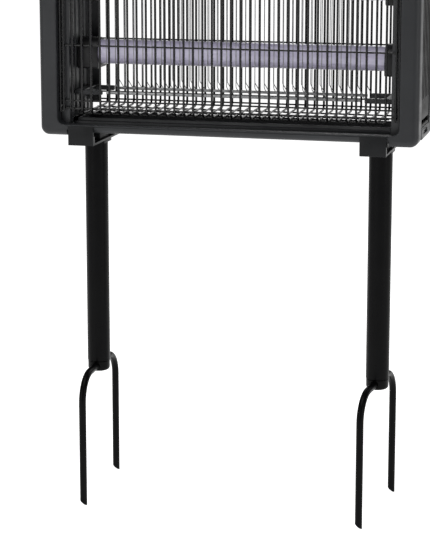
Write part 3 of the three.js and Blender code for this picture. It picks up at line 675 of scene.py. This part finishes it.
def screw_hole(node):
    """A rear screw's clearance hole, counterbore and the chamfer at its mouth, from the bezel's face."""
    hole, sunk, mouth = 2.2 * MM, 4.1 * MM, 4.6 * MM
    end, seat, chamfer, face, outside = -4 * MM, -1.6 * MM, -0.35 * MM, 0.1 * MM, 1 * MM
    profile = [(0, end), (hole, end), (hole, seat), (sunk, seat), (sunk, chamfer), (mouth, face),
               (0, outside)]
    x, _, z = middle(node)
    return lathe("tool", profile, "Y", (x, FACE_Y, z), segments=40)


def make_bezels():
    stand_for(bezel_ring("front_bezel_shell"), "front_bezel")
    rear = bezel_ring("rear_bezel_shell")
    rear.data.transform(Matrix.Rotation(math.pi, 4, "Z"))
    combine(rear, [screw_hole(node) for node in REAR_SCREWS])
    smooth(rear)
    stand_for(rear, "rear_bezel")


def cover_part(name, left, right, bottom):
    """The band between the bezels, from left to right and above the bottom."""
    depth, inner = -COVER_LOW.y, -COVER_INSET - COVER_THICKNESS
    cover = ring_of_loops(name, [
        house_loop(-COVER_INSET, -depth), house_loop(-COVER_INSET, depth),
        house_loop(inner, depth), house_loop(inner, -depth)])
    keep = block("keep", (left, -OUTSIDE, bottom), (right, OUTSIDE, TOP + MARGIN))
    combine(cover, [keep], "INTERSECT")
    return cover


def finish_cover(cover, tools, node):
    """Cuts the cover's openings, rounds its edges and puts it in the node's place."""
    combine(cover, tools)
    bevel(cover, 0.45 * MM, segments=2, angle=40)
    smooth(cover)
    stand_for(cover, node)


def make_side_cover(side_name, side):
    """A side with its vent slots, a level slot below them and, on the right, the tray's opening."""
    vent_half, vent_low, vent_high = 3 * MM, BASE + 45 * MM, BASE + 175 * MM
    level_z, level_half, level_reach = BASE + 22 * MM, 2.5 * MM, 27 * MM
    beyond = HALF_WIDTH + 5 * MM
    left, right = sorted((side * COVER_REACH, side * beyond))
    cover = cover_part(f"{side_name}_cover", left, right, BASE - MARGIN)
    inner, outer = side * (HALF_WIDTH - CORNER), side * (HALF_WIDTH + 1 * MM)
    wall = sorted((inner, outer))
    tools = [prism("tool", slot_outline(y * MM, vent_half, vent_low, vent_high), *wall) for y in VENTS]
    level_slot = [(y, z) for z, y in slot_outline(level_z, level_half, -level_reach, level_reach)]
    tools.append(prism("tool", level_slot, *wall))
    if side > 0:
        low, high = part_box("collection_tray")
        start = inner - 30 * MM
        tools.append(block("tool", (start, low.y - GAP, low.z - GAP), (outer, high.y + GAP, high.z + GAP)))
    finish_cover(cover, tools, f"{side_name}_side_cover")


def make_top_cover():
    """The lid, with openings for the switch and the gland."""
    reach, bottom = COVER_REACH - GAP, BASE + 200 * MM
    lid = cover_part("top_lid", -reach, reach, bottom)
    half_x, half_y, below, above = 10.4 * MM, 6.9 * MM, 12 * MM, 1 * MM
    x, gland_x = middle("switch_rocker")[0], middle("cable_gland")[0]
    gland_radius, gland_half = 6.3 * MM, 8 * MM
    opening = block("tool", (x - half_x, -half_y, TOP - below), (x + half_x, half_y, TOP + above))
    hole = cylinder("tool", gland_radius, -gland_half, gland_half, "Z", (gland_x, 0, TOP), segments=32)
    finish_cover(lid, [opening, hole], "top_cover")


def make_covers():
    for side_name, side in SIDES:
        make_side_cover(side_name, side)
    make_top_cover()


# ---------------------------------------------------------------- guards and grids

PITCH = 10 * MM
UPRIGHT = 1.2 * MM  # radius of the upright wires, and of the floor's wires that they run into
LEVEL = 0.9 * MM    # radius of the level wires along the width
SUNK = 0.25 * MM    # how deep the crossing wires are welded into each other
WIRE_SIDES = 10
BENT_WIRES = 32     # upright wires that turn under the lamps; the ones beside them stay straight
STRAIGHT_PLACES = (16.5 * PITCH, 17.5 * PITCH, OPEN_HALF - 1.4 * MM)
GUARD_Y = (abs(GUARD_LOW.y) + abs(GUARD_HIGH.y)) / 2 + 0.6 * MM
GUARD_TOP = OPEN_TOP - GAP
GUARD_BEND = 7 * MM
GUARD_ROWS = [BASE + (36 + 58 * row) * MM for row in range(4)]  # heights of the guards' level wires
FLOOR_LOW, FLOOR_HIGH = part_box("guard_floor")
FLOOR_Z = (FLOOR_LOW.z + FLOOR_HIGH.z) / 2
FLOOR_JOIN = 32 * MM  # where a guard's turned-under wire meets the floor's
FLOOR_ROWS = (-30, 0, 30)  # the floor's level wires along the depth, in millimetres


def wire_places(count):
    """Places in x of that many wires, a pitch apart and centred."""
    return [(i - (count - 1) / 2) * PITCH for i in range(count)]


def thick_wire(*corners):
    """A run of the thicker wire, rounded where it turns."""
    points = [Vector(corner) for corner in corners]
    return (rounded_path(points, GUARD_BEND, steps=8) if len(points) > 2 else points), UPRIGHT, WIRE_SIDES


def level_wire(left, right, y, z):
    """A run of the thinner wire along the width."""
    return [Vector((left, y, z)), Vector((right, y, z))], LEVEL, WIRE_SIDES


def make_guard(name, way):
    """Upright wires that turn under the lamps, straight ones beside them, and level ones behind."""
    y = way * GUARD_Y
    runs = [thick_wire((x, y, GUARD_TOP), (x, y, FLOOR_Z), (x, way * FLOOR_JOIN, FLOOR_Z))
            for x in wire_places(BENT_WIRES)]
    top, foot = GUARD_TOP - 1.5 * MM, FLOOR_Z + 1.3 * MM
    for x in [-x for x in reversed(STRAIGHT_PLACES)] + list(STRAIGHT_PLACES):
        runs.append(thick_wire((x, y, top), (x, y, foot)))
    behind = y - way * (UPRIGHT + LEVEL - SUNK)
    reach, lowest_reach = OPEN_HALF - GAP, OPEN_HALF - 1 * MM
    runs += [level_wire(-reach, reach, behind, z) for z in GUARD_ROWS]
    runs.append(level_wire(-lowest_reach, lowest_reach, behind, FLOOR_Z + 5 * MM))
    stand_for(wires(f"{name}_wires", runs), name)


def make_guards():
    make_guard("front_guard", -1)
    make_guard("rear_guard", 1)
    runs = [thick_wire((x, -FLOOR_JOIN, FLOOR_Z), (x, FLOOR_JOIN, FLOOR_Z)) for x in wire_places(BENT_WIRES)]
    under = FLOOR_Z - UPRIGHT - LEVEL + SUNK
    runs += [level_wire(FLOOR_LOW.x, FLOOR_HIGH.x, y * MM, under) for y in FLOOR_ROWS]
    stand_for(wires("guard_floor_wires", runs), "guard_floor")


def make_grids():
    """High-voltage wires whose lower ends slant across to the bar, and the two bars of each grid."""
    count, radius, sides, bend = 28, 0.47 * MM, 8, 3 * MM
    bar, bar_half, knee_height = 3 * MM, 0.55 * MM, 8.3 * MM
    slant = Vector((5.5 * MM, 0, -9 * MM))
    for name in ("hv_grid_front", "hv_grid_rear"):
        low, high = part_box(name)
        y = middle(name)[1]
        runs = []
        for x in wire_places(count):
            top, knee = Vector((x, y, high.z - bar / 2)), Vector((x, y, low.z + bar + knee_height))
            runs.append((rounded_path([top, knee, knee + slant], bend, steps=5), radius, sides))
        bars = []
        for z in (low.z, high.z - bar):
            strip = block("strip", (low.x, y - bar_half, z), (high.x, y + bar_half, z + bar))
            bevel(strip, 0.4 * MM)
            smooth(strip)
            bars.append(strip)
        stand_for(joined(f"{name}_wires", wires("wires", runs), *bars), name)


# ---------------------------------------------------------------- lamps

def make_glass(level):
    """A tube whose ends turn in towards the caps."""
    node = f"lamp_{level}"
    low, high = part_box(node)
    radius, half = (high.z - low.z) / 2, high.x
    draw, narrowing, plain = 3 * MM, 2.2 * MM, 50 * MM
    end = [(radius - narrowing * (1 - math.cos(turn)), half - draw + draw * math.sin(turn))
           for turn in quarter_turn(steps=8)]
    profile = [(0, -half)] + [(r, -x) for r, x in reversed(end)]
    profile += [(radius, -plain), (radius, plain)] + end + [(0, half)]
    stand_for(lathe(f"{node}_glass", profile, "X", (0, 0, middle(node)[2]), segments=72), node)


def make_lamp_cap(level, side_name, side):
    """A metal cup with a rolled groove that grips the glass, and its two pins."""
    node = f"lamp_{level}_cap_{side_name}"
    low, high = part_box(node)
    z = middle(f"lamp_{level}")[2]
    start, tip = sorted((abs(low.x), abs(high.x)))
    end, radius = tip - 2.6 * MM, (high.z - low.z) / 2
    rim, groove_half, groove_depth, corner = 0.5 * MM, 0.8 * MM, 0.4 * MM, 1.5 * MM
    groove = start + 2.4 * MM
    profile = [(0, start), (radius - rim, start), (radius, start + rim), (radius, groove - groove_half),
               (radius - groove_depth, groove), (radius, groove + groove_half)]
    profile += arc(radius - corner, end - corner, corner, 0, 90, steps=6)
    profile.append((0, end))
    cup = lathe("cup", profile, "X", (0, 0, z), segments=56)
    pin, pin_point, pin_offset = 1.2 * MM, 0.6 * MM, 6.35 * MM
    root, shoulder = end - 0.5 * MM, tip - 0.7 * MM
    shape = [(0, root), (pin, root), (pin, shoulder), (pin_point, tip), (0, tip)]
    pins = [lathe("pin", shape, "X", (0, 0, z + way * pin_offset), segments=16) for way in (-1, 1)]
    cap = joined(f"{node}_metal", cup, *pins)
    take_side(cap, side)
    stand_for(cap, node)


def make_socket(level, side_name, side):
    """An arched housing with a round mouth for the tube's cap."""
    node = f"socket_{level}_{side_name}"
    low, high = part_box(node)
    z = middle(f"lamp_{level}")[2]
    inner, outer = sorted((abs(low.x), abs(high.x)))
    half, corner, bore, wall = high.y, 1.5 * MM, 13.4 * MM, 1.1 * MM
    foot = low.z
    outline = [(-half, foot + corner), (-half + corner, foot), (half - corner, foot), (half, foot + corner)]
    outline += arc(0, z, half, 0, 180, steps=28)
    body = prism(f"{node}_body", outline, inner, outer)
    bevel(body, 1 * MM)
    mouth = cylinder("mouth", bore, inner - 1 * MM, outer - wall, "X", (0, 0, z), segments=56)
    combine(body, [mouth])
    take_side(body, side)
    stand_for(body, node)


def make_lamps():
    for level in LEVELS:
        make_glass(level)
        for side_name, side in SIDES:
            make_lamp_cap(level, side_name, side)
            make_socket(level, side_name, side)


# ---------------------------------------------------------------- legs

LEG_RADIUS = 12.3 * MM
LEG_TURN = {"left": 0.012, "right": -0.122}  # how far each plug and fork is turned about its leg, radians
BORE = 4.2 * MM  # radius of the hole for the rod, and of the CAD's eight-sided rod at its corners
ROD = BORE * math.cos(math.pi / 8)  # half the CAD rod's height, flat to flat
TINE_Y = 62 * MM


def bend_rod(name, corners, bend, radius, sides):
    """One round rod through the corners."""
    points = rounded_path([Vector(corner) for corner in corners], bend, steps=12)
    return wires(name, [(points, radius, sides)])


def make_leg_tube(side_name, x):
    """A steel tube, open at both ends."""
    node = f"leg_tube_{side_name}"
    low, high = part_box(node)
    radius, wall, rim, hold = (high.x - low.x) / 2, 1.5 * MM, 0.4 * MM, 3 * MM
    lower = [(radius - wall, low.z), (radius - rim, low.z), (radius, low.z + rim), (radius, low.z + hold)]
    upper = [(radius, high.z - hold), (radius, high.z - rim), (radius - rim, high.z), (radius - wall, high.z)]
    stand_for(lathe(f"{node}_steel", lower + upper, "Z", (x, 0, 0), segments=64), node)


def make_plug(side_name, x, turn):
    """The leg's lower end: a rounded foot, a spigot inside the tube, and a hole for the fork."""
    node = f"leg_plug_{side_name}"
    low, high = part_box(node)
    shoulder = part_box(f"leg_tube_{side_name}")[0].z - GAP
    edge, spigot = 0.4 * MM, 10.4 * MM
    rim, flat = LEG_RADIUS - edge, spigot - 2 * MM
    profile = [(0, low.z), (flat, low.z)]
    profile += arc(flat, low.z + 3 * MM, rim - flat, -70, 0, steps=6)
    profile += [(rim, shoulder - edge), (rim - edge, shoulder), (spigot, shoulder)]
    profile += [(spigot, high.z), (0, high.z)]
    plug = lathe(f"{node}_cap", profile, "Z", (x, 0, 0), segments=64)
    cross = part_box(f"ground_fork_{side_name}")[1].z - ROD
    combine(plug, [cylinder("bore", BORE, -30 * MM, 30 * MM, "Y", (x, 0, cross), segments=32)])
    plug.data.transform(turn)
    smooth(plug)
    stand_for(plug, node)


def make_fork(side_name, x, turn):
    """One rod bent into a U, with slanted points."""
    node = f"ground_fork_{side_name}"
    low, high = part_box(node)
    radius, cross, bend, slope = ROD - 0.05 * MM, high.z - ROD, 28 * MM, 0.7
    below = -20 * MM  # where the rod ends before its points are cut
    corners = [(x, -TINE_Y, below), (x, -TINE_Y, cross), (x, TINE_Y, cross), (x, TINE_Y, below)]
    fork = bend_rod(f"{node}_rod", corners, bend, radius, sides=28)
    slice_off(fork, (x, 0, low.z + slope * radius), Vector((-slope, 0, -1)).normalized())
    fork.data.transform(turn)
    smooth(fork, angle=40)
    stand_for(fork, node)


def make_legs():
    for side_name, _ in SIDES:
        x = middle(f"leg_tube_{side_name}")[0]
        make_leg_tube(side_name, x)
        turn = (Matrix.Translation((x, 0, 0)) @ Matrix.Rotation(LEG_TURN[side_name], 4, "Z")
                @ Matrix.Translation((-x, 0, 0)))
        make_plug(side_name, x, turn)
        make_fork(side_name, x, turn)
        clip = refined(f"leg_clip_{side_name}", f"leg_clip_{side_name}_sheet", 0.8 * MM)
        # the clip takes the lighter coating, whose lightness is a painted reflection of the lights on its
        # flat faces
        clip.data.materials[0] = MATERIALS["clip_coating_painted_reflection"]
        refined(f"leg_collar_{side_name}", f"leg_collar_{side_name}_flange", 0.7 * MM, angle=40)
        refined(f"leg_screw_{side_name}", f"leg_screw_{side_name}_shank", 0.3 * MM, segments=2, angle=50)


# ---------------------------------------------------------------- small parts

def make_screw(node):
    """A rear screw with a domed head and a cross recess."""
    low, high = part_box(node)
    x, _, z = middle(node)
    centre, face = Vector((x, 0, z)), high.y
    point, shank, head, dome, crown = 1.2 * MM, 1.8 * MM, 3.8 * MM, 3.2 * MM, 2 * MM
    seat, taper = face - 1 * MM, low.y + 1 * MM
    profile = [(0, low.y), (point, low.y), (shank, taper), (shank, seat), (head, seat),
               (head, face - 0.6 * MM), (dome, face - 0.25 * MM), (crown, face), (0, face)]
    screw = lathe(f"{node}_head", profile, "Y", centre, segments=40)
    long, short, deep = 2.2 * MM, 0.45 * MM, 0.7 * MM
    tools = []
    for a, b in ((long, short), (short, long)):
        tools.append(block("tool", (centre.x - a, face - deep, centre.z - b),
                           (centre.x + a, face + 1 * MM, centre.z + b)))
    combine(screw, tools)
    smooth(screw)
    stand_for(screw, node)


def make_bail():
    """A wire handle whose ends turn in, and its two lugs."""
    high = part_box("hanging_bail")[1]
    wire, inside_flats = 2 * MM, 0.93  # the CAD's wire has flat sides, which the round one stays inside
    z, radius, turned_in = middle("hanging_bail")[2], wire * inside_flats, 16 * MM
    half, reach = high.x - radius, high.y - radius
    end = half - turned_in
    corners = [(-end, 0, z), (-half, 0, z), (-half, reach, z), (half, reach, z), (half, 0, z), (end, 0, z)]
    stand_for(bend_rod("hanging_bail_wire", corners, 6 * MM, radius, sides=16), "hanging_bail")
    for side_name, _ in SIDES:
        refined(f"bail_lug_{side_name}", f"bail_lug_{side_name}_block", 0.9 * MM, angle=40)


def make_switch():
    refined("switch_frame", "switch_bezel", 0.5 * MM)
    refined("switch_rocker", "switch_key", 0.5 * MM, angle=20)


def make_gland():
    """A cord gland: flange, domed nut with grip notches, and a bore right through."""
    low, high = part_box("cable_gland")
    x, foot = middle("cable_gland")[0], TOP - 1 * MM
    bore, neck, flange, nose, edge = 3.4 * MM, 6 * MM, 9.5 * MM, 6.2 * MM, 0.3 * MM
    profile = [(bore, low.z), (neck, low.z), (neck, foot + GAP), (flange - edge, foot + GAP),
               (flange, foot + 0.7 * MM), (flange, foot + 5.4 * MM), (flange - 0.5 * MM, foot + 6 * MM)]
    profile += arc(neck, foot + 9 * MM, 1.8 * MM, -60, 0, steps=4)
    profile += [(nose, high.z - 1 * MM), (5.6 * MM, high.z), (3.8 * MM, high.z), (bore, high.z - 0.5 * MM)]
    gland = lathe("cable_gland_body", profile, "Z", (x, 0, 0), segments=64)
    count, circle = 12, 10.3 * MM
    notch_radius, notch_low, notch_high = 1.5 * MM, foot + 1.5 * MM, foot + 8 * MM
    notches = []
    for i in range(count):
        angle = 2 * math.pi * i / count
        spot = (x + circle * math.cos(angle), circle * math.sin(angle), 0)
        notches.append(cylinder("notch", notch_radius, notch_low, notch_high, "Z", spot, segments=16))
    combine(gland, notches)
    smooth(gland)
    stand_for(gland, "cable_gland")


REFINED = {  # CAD nodes whose own shape is kept, with the radius of their edges in millimetres
    "left_inner_panel": 0.5, "right_inner_panel": 0.5,
    "insulator_lower_left": 0.9, "insulator_lower_right": 0.9,
    "insulator_upper_left": 0.9, "insulator_upper_right": 0.9,
    "collection_tray": 0.45, "tray_pull": 0.8, "tray_rail_front": 0.4, "tray_rail_rear": 0.4,
    "chassis_plate": 0.4, "ballast": 1.0, "boost_board": 0.3,
    "starter_left": 0.8, "starter_right": 0.8, "terminal_block": 0.6,
}

MATERIALS = make_materials()
add_camera()
add_world()
add_floor()
make_bezels()
make_covers()
make_guards()
make_grids()
make_lamps()
make_legs()
for node in REAR_SCREWS:
    make_screw(node)
make_bail()
make_switch()
make_gland()
for node, radius in REFINED.items():
    refined(node, f"{node}_part", radius * MM, angle=40)
add_lights()
bpy.context.scene.view_settings.view_transform = "Standard"
